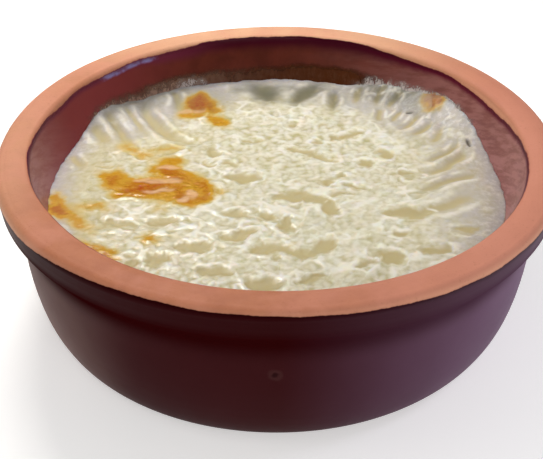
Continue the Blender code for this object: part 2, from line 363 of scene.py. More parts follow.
def rice(x, y, pitch, length, width, seed):
    """Height from 0 to 1 over rice under the skin: one long rounded grain to a square, turned anyhow."""
    top = np.zeros_like(x)
    for di, dj in around():
        i, j = np.floor(x / pitch) + di, np.floor(y / pitch) + dj
        across = x - (i + scatter(i, j, seed)) * pitch
        away = y - (j + scatter(i, j, seed + 1)) * pitch
        turn = math.pi * scatter(i, j, seed + 2)
        u = (across * np.cos(turn) + away * np.sin(turn)) / (0.5 * length)
        v = (away * np.cos(turn) - across * np.sin(turn)) / (0.5 * width)
        size = 0.6 + 0.4 * scatter(i, j, seed + 3)
        top = np.maximum(top, size * np.exp(-((u * u + v * v) ** 1.5)))
    return top


def ellipse_away(x, y, across, away, half_length, half_width, turn):
    """Millimetres outside a turned ellipse, below 0 inside it: (span - 1) * span over the span's slope."""
    c, s = math.cos(math.radians(turn)), math.sin(math.radians(turn))
    u = ((x / MM - across) * c + (y / MM - away) * s) / half_length
    v = ((y / MM - away) * c - (x / MM - across) * s) / half_width
    span = np.hypot(u, v)
    return (span - 1.0) * span / (np.hypot(u / half_length, v / half_width) + 1e-6)


def eased(value, low, high):
    """0 below low, 1 above high and a smooth rise between; the other way round where low is above high."""
    t = clipped((value - low) / (high - low))
    return t * t * (3.0 - 2.0 * t)


def bell(value):
    """1 at 0, and falling away on both sides."""
    return np.exp(-(value**2))


def clipped(value):
    """A value kept between 0 and 1."""
    return np.clip(value, 0.0, 1.0)


def wandered(x, y, reach, pitch, seed, layers):
    """Places shifted both ways by up to a reach, so that outlines laid over them wander."""
    across = x + reach * layered(x, y, pitch, seed, layers)
    away = y + reach * layered(x, y, pitch, seed + 10, layers)
    return across, away


def section(radius, z):
    """Places of a section, one to a row: radius and height. Either may be one number for all."""
    return np.stack(np.broadcast_arrays(radius, z), axis=1)


def arc(centre, radius, start, end, steps):
    """Places (radius, height) on an arc round a centre, between two angles in degrees."""
    turn = np.radians(np.linspace(start, end, steps + 1))
    return section(centre[0] + radius * np.cos(turn), centre[1] + radius * np.sin(turn))


def turned(radius, turn, z):
    """Places at a radius and a turn about the axis (radians), at height z."""
    return np.stack([radius * np.cos(turn), radius * np.sin(turn), z + np.zeros_like(radius)], axis=-1)


def rings_to_faces(rings):
    """Quads between each ring of vertex numbers and the next. Each ring closes on itself."""
    near, far = rings[:-1], rings[1:]
    corners = (near, np.roll(near, -1, axis=1), np.roll(far, -1, axis=1), far)
    return np.stack(corners, axis=-1).reshape(-1, 4)


def grid_to_faces(grid):
    """Quads over an open grid of vertex numbers."""
    corners = (grid[:-1, :-1], grid[:-1, 1:], grid[1:, 1:], grid[1:, :-1])
    return np.stack(corners, axis=-1).reshape(-1, 4)


def fan_to_faces(ring, pole):
    """Triangles from a ring of vertex numbers to one pole."""
    return np.stack([ring, np.roll(ring, -1), np.full_like(ring, pole)], axis=-1)


def make_piece(name, points, faces, values, finish):
    """A smooth mesh piece from places, face lists and named values, one for each vertex."""
    mesh = bpy.data.meshes.new(name)
    mesh.from_pydata(points.tolist(), [], [face for group in faces for face in group.tolist()])
    for key, numbers in values.items():
        mesh.attributes.new(key, "FLOAT", "POINT").data.foreach_set("value", numbers.astype(np.float32))
    mesh.materials.append(finish)
    mesh.shade_smooth()
    piece = bpy.data.objects.new(name, mesh)
    bpy.context.scene.collection.objects.link(piece)
    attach(piece, "root")
    return piece


class Value:
    """An output of a shader node that takes part in Python sums. Each operator adds one Math node."""

    def __init__(self, paint, socket):
        self.paint = paint
        self.socket = socket

    def __add__(self, other):
        return self.paint.math("ADD", self, other)

    __radd__ = __add__

    def __sub__(self, other):
        return self.paint.math("SUBTRACT", self, other)

    def __rsub__(self, other):
        return self.paint.math("SUBTRACT", other, self)

    def __mul__(self, other):
        return self.paint.math("MULTIPLY", self, other)

    __rmul__ = __mul__

    def __truediv__(self, other):
        return self.paint.math("DIVIDE", self, other)

    def __pow__(self, other):
        return self.paint.math("POWER", self, other)


SHADER_SOCKETS = {
    "colour": "Base Color",
    "roughness": "Roughness",
    "normal": "Normal",
    "alpha": "Alpha",
    "coat": "Coat Weight",
}


class Paint:
    """One material, or the sky, whose pattern is written as sums over shader nodes."""

    def __init__(self, owner, output="ShaderNodeOutputMaterial"):
        self.owner = owner
        self.owner.use_nodes = True
        self.tree = self.owner.node_tree
        self.tree.nodes.clear()
        self.output = self.tree.nodes.new(output)

    def node(self, kind, settings, inputs, output=0):
        """Adds one node: its settings first, then its sockets. Gives one of its outputs."""
        made = self.tree.nodes.new(kind)
        for key, value in settings.items():
            setattr(made, key, value)
        for key, value in inputs.items():
            self.feed(made.inputs[key], value)
        return Value(self, made.outputs[output])

    def feed(self, socket, value):
        """Links an output to a socket, or sets the socket's own value."""
        if isinstance(value, Value):
            self.tree.links.new(value.socket, socket)
        else:
            socket.default_value = value

    def math(self, operation, first, second):
        """One Math node over two values or numbers."""
        return self.node("ShaderNodeMath", {"operation": operation}, {0: first, 1: second})

    def clip(self, value):
        """A value kept between 0 and 1."""
        return self.node("ShaderNodeClamp", {}, {"Value": value})

    def place(self):
        """Where a point lies on the object, in metres."""
        return self.node("ShaderNodeTexCoord", {}, {}, "Object")

    def part(self, where, axis):
        """One part of a place: X, Y or Z."""
        return self.node("ShaderNodeSeparateXYZ", {}, {"Vector": where}, axis)

    def join(self, x, y, z):
        """A place put together from its three parts."""
        return self.node("ShaderNodeCombineXYZ", {}, {"X": x, "Y": y, "Z": z})

    def attribute(self, name):
        """A number stored with the mesh."""
        return self.node("ShaderNodeAttribute", {"attribute_name": name}, {}, "Fac")

    def distance(self, where, spot):
        """How far a point lies from a spot, in metres."""
        inputs = {0: where, 1: tuple(spot)}
        return self.node("ShaderNodeVectorMath", {"operation": "DISTANCE"}, inputs, "Value")

    def noise(self, where, pitch, detail=2.0, rough=0.5):
        """Soft noise from 0 to 1 whose lumps are about a pitch (metres) apart."""
        inputs = {"Vector": where, "Scale": 1.0 / pitch, "Detail": detail, "Roughness": rough}
        return self.node("ShaderNodeTexNoise", {}, inputs)

    def stretch(self, where, factors):
        """A place whose three parts are each multiplied by a factor."""
        return self.node("ShaderNodeVectorMath", {"operation": "MULTIPLY"}, {0: where, 1: factors})

    def warp(self, where, pitch, reach):
        """A place shifted by up to a reach (metres) in all directions, so straight lines wander."""
        inputs = {"Vector": where, "Scale": 1.0 / pitch, "Detail": 1.0}
        shift = self.node("ShaderNodeTexNoise", {}, inputs, "Color")
        shift = self.node("ShaderNodeVectorMath", {"operation": "SUBTRACT"}, {0: shift, 1: (0.5, 0.5, 0.5)})
        inputs = {0: shift, 1: (2.0 * reach,) * 3, 2: where}
        return self.node("ShaderNodeVectorMath", {"operation": "MULTIPLY_ADD"}, inputs)

    def cracks(self, where, pitch):
        """Distance to the nearest cell wall, in shares of the pitch."""
        inputs = {"Vector": where, "Scale": 1.0 / pitch}
        return self.node("ShaderNodeTexVoronoi", {"feature": "DISTANCE_TO_EDGE"}, inputs, "Distance")

    def ease(self, value, low, high):
        """0 below low, 1 above high and an eased rise between. It falls instead where low is above high."""
        settings = {"interpolation_type": "SMOOTHSTEP"}
        if low > high:
            return 1.0 - self.ease(value, high, low)
        return self.node("ShaderNodeMapRange", settings, {"Value": value, "From Min": low, "From Max": high})

    def mix(self, share, first, second):
        """First colour where the share is 0, second where it is 1."""
        settings = {"data_type": "RGBA", "clamp_factor": True}
        return self.node("ShaderNodeMix", settings, {0: share, 6: rgba(first), 7: rgba(second)}, 2)

    def coats(self, ground, *layers):
        """A ground with coats laid over it in turn. Each coat is a share and a colour."""
        for share, colour in layers:
            ground = self.mix(share, ground, colour)
        return ground

    def bump(self, height, reach, strength):
        """A bump as high as its height times its reach (metres)."""
        return self.node("ShaderNodeBump", {}, {"Height": height, "Distance": reach, "Strength": strength})

    def shader(self, constants, **varying):
        """A Principled shader: constants set on its sockets, what changes over the surface fed into them."""
        inputs = {SHADER_SOCKETS[key]: value for key, value in varying.items()}
        return self.node("ShaderNodeBsdfPrincipled", {}, {**constants, **inputs})

    def blend(self, share, first, second):
        """First shader where the share is 0, second where it is 1."""
        return self.node("ShaderNodeMixShader", {}, {0: share, 1: first, 2: second})

    def finish(self, shader):
        """Puts the shader on the surface and gives the material or sky."""
        self.feed(self.output.inputs["Surface"], shader)
        return self.owner


def rgba(colour):
    """A colour with its alpha, for a socket. An output stays as it is."""
    return colour if isinstance(colour, Value) else (*tuple(colour)[:3], 1.0)


def length_setting(label, value, about):
    """A size in metres that a user may change."""
    return bpy.props.FloatProperty(
        name=label, description=about, default=value, min=0.0, unit="LENGTH", precision=5
    )


def colour_setting(label, value, about):
    """A colour that a user may change."""
    return bpy.props.FloatVectorProperty(
        name=label, description=about, default=value, min=0.0, max=1.0, size=3, subtype="COLOR"
    )


def place_setting(label, value, about):
    """A place in metres that a user may change."""
    return bpy.props.FloatVectorProperty(
        name=label, description=about, default=value, size=3, subtype="TRANSLATION"
    )


def angle_setting(label, degrees, about):
    """An angle that a user may change."""
    return bpy.props.FloatProperty(
        name=label, description=about, default=math.radians(degrees), subtype="ANGLE"
    )


def number_setting(label, value, about):
    """A plain number that a user may change."""
    return bpy.props.FloatProperty(name=label, description=about, default=value, min=0.0)


class ClayDishSettings(bpy.types.PropertyGroup):
    """Sizes and colours of the earthenware dish."""

    rim_radius: length_setting("Rim radius", DISH_HIGH.x, "Axis to the outside of the rim")
    height: length_setting("Height", DISH_HIGH.z, "Floor to the top of the rim")
    rim_corner: length_setting("Rim corner", 2.3 * MM, "Rounding of the rim's outer edge")
    rim_crown: length_setting("Rim crown", 0.3 * MM, "How much the rim's top is domed")
    collar_depth: length_setting("Collar depth", 9.9 * MM, "Rim top to the middle of the band's lower edge")
    collar_turn: length_setting("Collar turn", 6.6 * MM, "Height of the soft turn from the band to the body")
    collar_taper: length_setting("Collar taper", 0.4 * MM, "How far the band leans in towards its foot")
    neck_radius: length_setting("Neck radius", 60.8 * MM, "Body radius just below the band")
    base_radius: length_setting("Base radius", 48.4 * MM, "Radius of the flat foot")
    lip_radius: length_setting("Lip radius", 57.4 * MM, "Inner radius at the rim")
    lip_corner: length_setting("Lip corner", 1.5 * MM, "Rounding of the rim's inner edge")
    floor_radius: length_setting("Floor radius", 36.0 * MM, "Radius of the hollow's flat floor")
    floor_thickness: length_setting("Floor thickness", 6.4 * MM, "Clay under the pudding")
    unevenness: length_setting("Unevenness", 0.16 * MM, "How far the hand-turned form wanders")
    throwing: length_setting("Throwing rings", 0.006 * MM, "Height of the turning marks on the body")
    glaze_coat: length_setting("Glaze coat", 0.06 * MM, "Thickness of the glaze over the clay")
    blemish: place_setting("Blemish", (-0.25 * MM, -60.0 * MM, 23.1 * MM), "Pinhole in the body's glaze")
    # Painted highlight: middle of the bluish glint painted under the lip
    glint: place_setting("Sheen", (-39.5 * MM, 41.5 * MM, 41.2 * MM), "Middle of the bluish bloom")
    clay: colour_setting("Bare clay", (0.50, 0.180, 0.085), "Unglazed rim")
    clay_dark: colour_setting("Dark clay", (0.42, 0.140, 0.070), "Darker mottling of the unglazed rim")
    # Painted light: paler clay where the rim is made to look more brightly lit, at the back, the far left and
    # its outer corner
    clay_painted_light: colour_setting("Pale clay", (0.80, 0.455, 0.275), "Paler clay where the fire was hottest")
    clay_pink: colour_setting("Pink clay", (0.67, 0.272, 0.183), "Pinker clay on the right")
    clay_stain: colour_setting("Stained clay", (0.36, 0.095, 0.055), "Clay that took up glaze along its edge")
    glaze: colour_setting("Glaze", (0.026, 0.0018, 0.0022), "Thick glaze on the collar")
    glaze_body: colour_setting("Body glaze", (0.042, 0.0065, 0.0075), "Thinner glaze on the body")
    # Painted reflection: lilac sheen on the front right of the outer glaze
    glaze_lilac_sheen: colour_setting("Lilac glaze", (0.200, 0.112, 0.195), "Bloom on the glaze on the right")
    # Painted reflection: pale sheen on the front left; the same colour makes the faint ring round the pinhole
    glaze_dull_and_sheen: colour_setting("Greyish glaze", (0.175, 0.100, 0.088), "Dull glaze on the left")
    glaze_inside: colour_setting("Inner glaze", (0.138, 0.031, 0.019), "Thinner, browner glaze in the hollow")
    glaze_ruddy: colour_setting("Ruddy glaze", (0.24, 0.045, 0.046), "Redder glaze on the left of the hollow")
    # Painted reflection of the bright skin on the inner side walls
    glaze_streaky_sheen: colour_setting("Sheened glaze", (0.43, 0.20, 0.19), "Pale dull glaze inside, left and right")
    glaze_plum: colour_setting("Plum glaze", (0.16, 0.026, 0.055), "Purple glaze under the lip on the left")
    # Painted highlight: bluish glint painted as glaze colour under the lip, back left
    glaze_glint: colour_setting("Glinting glaze", (0.26, 0.22, 0.48), "Bluish bloom under the lip, back left")
    glaze_lip: colour_setting("Lip glaze", (0.060, 0.004, 0.014), "Redder glaze below the rim's inner edge")
    glaze_edge: colour_setting("Glaze edge", (0.014, 0.0008, 0.0012), "Line where the glaze ends outside")


class MilkSkinSettings(bpy.types.PropertyGroup):
    """Sizes and colours of the pudding and its baked skin."""

    fill_drop: length_setting("Fill drop", 12.0 * MM, "Rim top down to the level of the skin")
    meniscus_width: length_setting("Meniscus width", 11.0 * MM, "How far the climb at the wall reaches in")
    meniscus_rise: length_setting("Meniscus rise", 0.6 * MM, "Climb at the wall, where nothing else lifts it")
    ragged: length_setting("Ragged edge", 0.22 * MM, "How far the skin's edge on the wall wanders")
    pool_depth: length_setting("Pool depth", 0.30 * MM, "How far the pools sank")
    pool_lip: length_setting("Pool lip", 0.10 * MM, "Raised edge round each pool")
    wrinkle: length_setting("Wrinkles", 0.17 * MM, "Height of the ridges between cells")
    wrinkle_pitch: length_setting("Wrinkle pitch", 4.6 * MM, "Size of the cells between ridges")
    rice_height: length_setting("Rice height", 0.13 * MM, "How far the rice stands up under the skin")
    rice_length: length_setting("Rice length", 3.0 * MM, "Length of a cooked grain")
    rice_width: length_setting("Rice width", 1.5 * MM, "Width of a cooked grain")
    cream: colour_setting("Cream", (0.51, 0.47, 0.27), "Ground colour of the skin")
    pale_cream: colour_setting("Pale cream", (0.66, 0.63, 0.46), "Lighter clouds in the ground")
    warm_cream: colour_setting("Warm cream", (0.51, 0.44, 0.225), "Ground on the side that browned")
    custard: colour_setting("Custard", (0.50, 0.45, 0.20), "Gaps between the rice in the middle")
    # Partly drier skin, partly painted shade: greyer skin near the wall, at the back and on the right
    edge: colour_setting("Edge", (0.455, 0.43, 0.45), "Drier skin that climbs the wall")
    # Painted shadow: grey laid over the skin where the wall shades it at the back
    dusk: colour_setting("Dusk", (0.13, 0.13, 0.09), "Thin grey skin that sagged from the wall at the back")
    # Painted shade: near-black inside the small holes near the wall
    pit: colour_setting("Pit", (0.070, 0.048, 0.030), "Small holes near the wall, seen into")
    white: colour_setting("White", (0.88, 0.86, 0.77), "Thin ridges and the tops of the rice")
    # Partly tan thin skin, partly painted shade in the pools and fold valleys
    pool: colour_setting("Pool", (0.52, 0.44, 0.23), "Floors of the pools and valleys")
    straw: colour_setting("Straw", (0.62, 0.46, 0.12), "First tint of browning")
    gold: colour_setting("Gold", (0.57, 0.305, 0.018), "Light browning")
    amber: colour_setting("Amber", (0.46, 0.165, 0.005), "Well browned skin")
    russet: colour_setting("Russet", (0.42, 0.062, 0.002), "Darkest browned skin")
    blush: colour_setting("Blush", (0.76, 0.49, 0.30), "Pale pink ridges inside the brown")


class WallFilmSettings(bpy.types.PropertyGroup):
    """Sizes and colours of what dried on the wall above the skin."""

    thickness: length_setting("Thickness", 0.14 * MM, "How far the film stands off the wall")
    baked: colour_setting("Baked milk", (0.076, 0.0170, 0.0006), "Dark ring at the back")
    baked_light: colour_setting("Thin baked milk", (0.15, 0.075, 0.047), "Ring where it is thin")
    film: colour_setting("Milk film", (0.60, 0.55, 0.53), "Thin dried milk")
    film_brown: colour_setting("Browned film", (0.30, 0.19, 0.14), "Dried milk on the left, where it browned")


class StageSettings(bpy.types.PropertyGroup):
    """Floor, lights and camera."""

    floor_size: length_setting("Floor size", 6.0, "Side of the floor")
    floor: colour_setting("Floor", (0.86, 0.86, 0.86), "Colour of the floor")
    camera_distance: length_setting("Camera distance", 0.273, "Camera to the middle of the rim")
    camera_height: angle_setting("Camera height", 29.77, "Angle of the camera above the rim")
    camera_pitch: angle_setting("Camera pitch", 34.22, "How far the camera looks down")
    camera_swing: angle_setting("Camera swing", 0.308, "How far the camera looks to the left")
    camera_roll: angle_setting("Camera roll", -0.139, "Tilt of the camera about its own axis")
    lens: number_setting("Lens", 77.13, "Focal length in millimetres")
    key: number_setting("Back light", 0.48, "Watts of the light behind the dish")
    side: number_setting("Right light", 0.8, "Watts of the cool light on the right")
    front: number_setting("Front light", 3.0, "Watts of the large soft light in front")
    fill: number_setting("Left light", 0.4, "Watts of the light on the left")
    sky: number_setting("Sky", 0.62, "Strength of the light from overhead")
    horizon: number_setting("Horizon", 0.06, "Strength of the light from the sides")
    glow: number_setting("Floor glow", 0.4, "How far the floor is lit from below")


def hollow_radius(dish, z):
    """Inner radius at height z: straight below the lip, then rounding into the floor."""
    depth = clipped((dish.height - z) / (dish.height - dish.floor_thickness))
    return dish.floor_radius + (dish.lip_radius - dish.floor_radius) * (1.0 - depth**1.3) ** 0.6


def neck_height(dish):
    """Height at which the soft turn under the collar ends and the body starts."""
    return dish.height - dish.collar_depth - 0.5 * dish.collar_turn


def body_radius(dish, z):
    """Outer radius below the collar at height z: a full belly that turns in to the base."""
    depth = clipped(1.0 - z / neck_height(dish))
    return dish.base_radius + (dish.neck_radius - dish.base_radius) * (1.0 - depth**2.1) ** 0.3


def swell(dish, z, bearing):
    """How far the hand-turned dish stands out past a true circle: most at the rim, nothing at the base."""
    return bumps(bearing, OUT_OF_ROUND) * MM * (z / dish.height) ** 2


def dish_section(dish):
    """Half section (radius, height): hollow wall, lip, rim, collar, body, foot."""
    wall_top = dish.height - dish.lip_corner - dish.rim_crown
    lower = np.linspace(dish.floor_thickness + 0.2 * MM, wall_top - 4.0 * MM, WALL_STEPS)
    upper = np.linspace(wall_top - 4.0 * MM, wall_top, WALL_STEPS)[1:-1]
    wall_z = np.concatenate([lower, upper])
    hollow = section(hollow_radius(dish, wall_z), wall_z)
    lip_centre = (hollow_radius(dish, wall_top) + dish.lip_corner, wall_top)
    lip = arc(lip_centre, dish.lip_corner, 180.0, 90.0, LIP_STEPS)
    inner, outer = lip[-1, 0], dish.rim_radius - dish.rim_corner
    crown_r = np.linspace(inner, outer, CROWN_STEPS)[1:-1]
    dome = 1.0 - ((crown_r - 0.5 * (inner + outer)) / (0.5 * (outer - inner))) ** 2
    crown = section(crown_r, dish.height - dish.rim_crown * (1.0 - dome))
    corner_z = dish.height - dish.rim_crown - dish.rim_corner
    corner = arc((outer, corner_z), dish.rim_corner, 90.0, 0.0, CORNER_STEPS)
    neck_z = neck_height(dish)
    foot_z = neck_z + dish.collar_turn
    face_z = np.linspace(corner_z, foot_z, COLLAR_STEPS)[1:]
    lean = dish.collar_taper * (corner_z - face_z) / (corner_z - foot_z)
    face = section(dish.rim_radius - lean, face_z)
    turn_z = np.linspace(foot_z, neck_z, COLLAR_STEPS)[1:-1]
    share = eased(turn_z, foot_z, neck_z)
    turn = section(face[-1, 0] + (dish.neck_radius - face[-1, 0]) * share, turn_z)
    depth = np.sin(np.linspace(0.0, 0.5 * math.pi, BODY_STEPS)) ** (2.0 / 2.1)
    body_z = neck_z * (1.0 - depth)
    body = section(body_radius(dish, body_z), body_z)
    under = section(np.linspace(dish.base_radius, 0.0, FOOT_STEPS)[1:-1], 0.0)
    return np.concatenate([hollow, lip, crown, corner, face, turn, body, under])


def bumps(bearing, rows):
    """Sum of soft bumps over a bearing in degrees: each row has a middle, a half width and a height."""
    total = np.zeros_like(bearing)
    for middle, half_width, height in rows:
        away = (bearing - middle + 180.0) % 360.0 - 180.0
        total += height * bell(away / half_width)
    return total


def around_axis(bearing, fineness, seed, layers):
    """Layered mottle along a circle: it depends on the bearing alone and closes on itself."""
    turn = np.radians(bearing)
    return layered(np.cos(turn) * fineness, np.sin(turn) * fineness, 1.0, seed, layers)


def bare_clay(dish, radius, z, bearing):
    """Millimetres from the nearer glaze line: above 0 on the bare rim and foot, below 0 on the glaze.

    Each line's share is its depth below the rim, less the drop, plus the way across the rim's top.
    """
    wander = 0.22 * around_axis(bearing, 9.0, 5, 3)
    drop = (dish.height - z) / MM
    inside = GLAZE_LEAST_INSIDE + bumps(bearing, GLAZE_INSIDE) + wander - drop
    inside += np.clip(radius - dish.lip_radius, 0.0, None) / MM
    outside = GLAZE_LEAST_OUTSIDE + bumps(bearing, GLAZE_OUTSIDE) + wander - drop
    outside += np.clip(dish.rim_radius - radius, 0.0, None) / MM
    under = (dish.base_radius - 1.2 * MM - radius) / MM + wander
    return np.where(z < 0.3 * MM, under, np.minimum(inside, outside))


def dish_points(dish, turns):
    """The section carried round the axis, with slow waves in the rim and fine rings on the body.

    Radius = section radius + unevenness * waves of the bearing + throwing * waves of height + coat of glaze
    + how far the dish stands out of round - how far the lip stands in. Gives places, millimetres from the
    glaze line, and 1 in the hollow.
    """
    half = dish_section(dish)
    radius = half[:, :1] + np.zeros((1, turns))
    z = half[:, 1:] + np.zeros((1, turns))
    turn = np.linspace(0.0, 2.0 * math.pi, turns, endpoint=False)[None, :] + np.zeros_like(radius)
    bearing = np.degrees(turn)
    slow = sum(strength * np.sin(waves * turn + start) for waves, start, strength in SLOW_WAVES)
    spiral = np.sin(2.0 * math.pi * (z / COARSE_TURN + turn / (2.0 * math.pi)))
    fine = np.sin(2.0 * math.pi * (z / FINE_TURN + 2.0 * turn / (2.0 * math.pi)) + 1.0)
    bare = bare_clay(dish, radius, z, bearing)
    outer = (np.arange(len(half)) > half[:, 1].argmax())[:, None]
    rim = clipped((z - (dish.height - 3.0 * MM)) / (3.0 * MM))
    standing = clipped(z / MM) * outer
    wander = 0.5 * dish.unevenness * (slow - 2.0) * (1.0 - rim) + dish.throwing * (spiral + 0.5 * fine - 1.5)
    middle = 0.5 * (dish.lip_radius + dish.rim_radius)
    flank = clipped((np.abs(radius - middle) - 2.2 * MM) / (1.4 * MM))
    coat = dish.glaze_coat * clipped(0.5 + bare / 0.5) * rim * flank
    points_r = radius + standing * wander - np.where(outer, coat, -coat)
    points_r += swell(dish, z, bearing) * (radius > 0.5 * dish.floor_radius)
    points_r -= bumps(bearing, LIP_BULGE) * MM * rim * clipped((middle - radius) / (3.0 * MM))
    crown = clipped(1.0 - np.abs(radius - middle) / (3.6 * MM))
    ground = mottle(radius * np.cos(turn), radius * np.sin(turn), 9.0 * MM, 11)
    points_z = z + rim * crown * dish.unevenness * (0.3 * slow + 0.5 * ground - 1.0)
    inside = (~outer & (radius > 0.0)).astype(float)
    return turned(points_r, turn, points_z), bare, inside


CLAY_CONSTANTS = {"Metallic": 0.0, "Specular IOR Level": 0.4}
DULL_CONSTANTS = {"Metallic": 0.0, "Specular IOR Level": 0.0}
GLAZE_CONSTANTS = {
    "Metallic": 0.0,
    "Specular IOR Level": 0.05,
    "Specular Tint": (0.6, 0.2, 0.3, 1.0),
    "Coat Roughness": 0.14,
}
SKIN_CONSTANTS = {
    "Metallic": 0.0,
    "Specular IOR Level": 0.28,
    "Subsurface Weight": 0.9,
    "Subsurface Scale": 2.2 * MM,
    "Subsurface Radius": (1.0, 0.8, 0.5),
}
FILM_CONSTANTS = {"Metallic": 0.0, "Specular IOR Level": 0.15}


def bare_colour(paint, dish, where, line, grain, specks):
    """Mottled terracotta: paler at the back, the far left and the rim's outer corner as painted light, pinker
    on the right, stained where the glaze begins.
    """
    across, away, up = (paint.part(where, axis) for axis in "XYZ")
    patches = paint.ease(paint.noise(where, 7.0 * MM, 4.0, 0.6), 0.36, 0.66)
    flushes = paint.ease(paint.noise(where, 12.0 * MM, 3.0, 0.6), 0.44, 0.64)
    # Painted light: far and side make the rim paler at the back, the far left and the outer corner
    far = paint.ease(away, 20.0 * MM, 72.0 * MM) + 0.35 * paint.ease(across, -46.0 * MM, -64.0 * MM)
    right = paint.ease(across - 0.3 * away, 12.0 * MM, 62.0 * MM)
    side = paint.ease(up, dish.height - 0.4 * MM, dish.height - 2.6 * MM)
    return paint.coats(
        dish.clay,
        (0.6 * patches + 0.30 * (grain - 0.3), dish.clay_dark),
        (far, dish.clay_painted_light),
        (right * 0.8, dish.clay_pink),
        (0.35 * flushes, dish.clay_pink),
        (0.4 * side, dish.clay_painted_light),
        (0.25 * specks, dish.clay_dark),
        (paint.ease(line, 0.7, 0.0) * 0.4, dish.clay_stain),
    )


def outer_colour(paint, dish, where, line):
    """Maroon glaze outside: dark on the collar, with a painted reflection as pale sheen at the left and lilac
    sheen at the right, and one pinhole.
    """
    across, away, up = (paint.part(where, axis) for axis in "XYZ")
    clouds = paint.noise(where, 14.0 * MM, 3.0, 0.55)
    low = dish.height - 18.0 * MM
    thin = paint.ease(up, dish.height - 12.0 * MM, low)
    front = 0.3 + 0.7 * paint.ease(away, 18.0 * MM, -14.0 * MM)
    # Painted reflection: sheen that grows towards the right and left edges, strongest on the front; ends adds
    # it to the collar at the far left
    right_sheen = front * paint.clip(across / (56.0 * MM)) ** 1.5
    left_sheen = front * paint.ease(across, -28.0 * MM, -58.0 * MM) * (1.3 - 0.6 * paint.ease(up, 4.0 * MM, low))
    ends = paint.ease(across, -50.0 * MM, -65.0 * MM)
    spot = paint.distance(where, dish.blemish) + 0.8 * MM * (paint.noise(where, 1.2 * MM) - 0.5)
    return paint.coats(
        dish.glaze,
        (thin * (0.8 + 0.5 * (clouds - 0.5)), dish.glaze_body),
        (right_sheen * (0.45 + 0.55 * thin) * (0.85 + 0.3 * clouds), dish.glaze_lilac_sheen),
        ((left_sheen * thin + 0.6 * ends * (1.0 - thin)) * (0.8 + 0.4 * clouds), dish.glaze_dull_and_sheen),
        (0.6 * paint.ease(line, -1.6, 0.0), dish.glaze_edge),
        # A faint pale ring round the pinhole
        (0.09 * paint.ease(spot, 2.0 * MM, 1.1 * MM), dish.glaze_dull_and_sheen),
        (0.8 * paint.ease(spot, 1.0 * MM, 0.4 * MM), dish.glaze_edge),
    )


def inner_colour(paint, dish, where, line, blot):
    """Glaze in the hollow: red-brown, ruddy at the left and dark below the lip, with painted reflections:
    pale streaky sheen at the sides and a bluish glint under the lip at the back left.
    """
    across, away, up = (paint.part(where, axis) for axis in "XYZ")
    sides = paint.ease(across * across, (14.0 * MM) ** 2.0, (50.0 * MM) ** 2.0)
    left = paint.ease(across, -20.0 * MM, -45.0 * MM) * paint.ease(away, 24.0 * MM, -16.0 * MM)
    right = paint.clip(across / (52.0 * MM)) ** 1.7 * (0.6 + 0.35 * paint.ease(away, 24.0 * MM, -10.0 * MM))
    slanting = paint.join(0.25 * across, 0.25 * away, up + 0.45 * away)
    streaks = paint.ease(paint.noise(slanting, 1.8 * MM, 4.0, 0.65), 0.36, 0.64)
    edge = paint.coats(
        dish.glaze_lip,
        (sides, [2.2 * part for part in dish.glaze_lip]),
        (paint.ease(across, -10.0 * MM, -34.0 * MM), dish.glaze_plum),
    )
    # Painted highlight: a broken bluish glint in a band just below the glaze line, near one spot
    glint = paint.distance(where, dish.glint) + 6.0 * MM * (paint.noise(where, 1.4 * MM, 2.0) - 0.5)
    band = paint.ease(line, -1.7, -0.9) * paint.ease(line, 0.0, -0.5)
    broken = 0.3 + 0.7 * paint.ease(paint.noise(where, 3.2 * MM, 2.0, 0.5), 0.40, 0.62)
    return paint.coats(
        dish.glaze_inside,
        (paint.ease(blot, 0.3, 0.7), [0.72 * part for part in dish.glaze_inside]),
        (paint.ease(across, -18.0 * MM, -52.0 * MM), dish.glaze_ruddy),
        # Painted reflection: pale sheen on the left and right walls of the hollow, broken into slanting
        # streaks
        ((left + right) * (0.66 + 0.56 * streaks), dish.glaze_streaky_sheen),
        (paint.ease(line * (1.0 + 1.4 * sides), -4.6, -1.2), edge),
        (paint.ease(glint, 10.0 * MM, 6.5 * MM) * band * broken, dish.glaze_glint),
    )


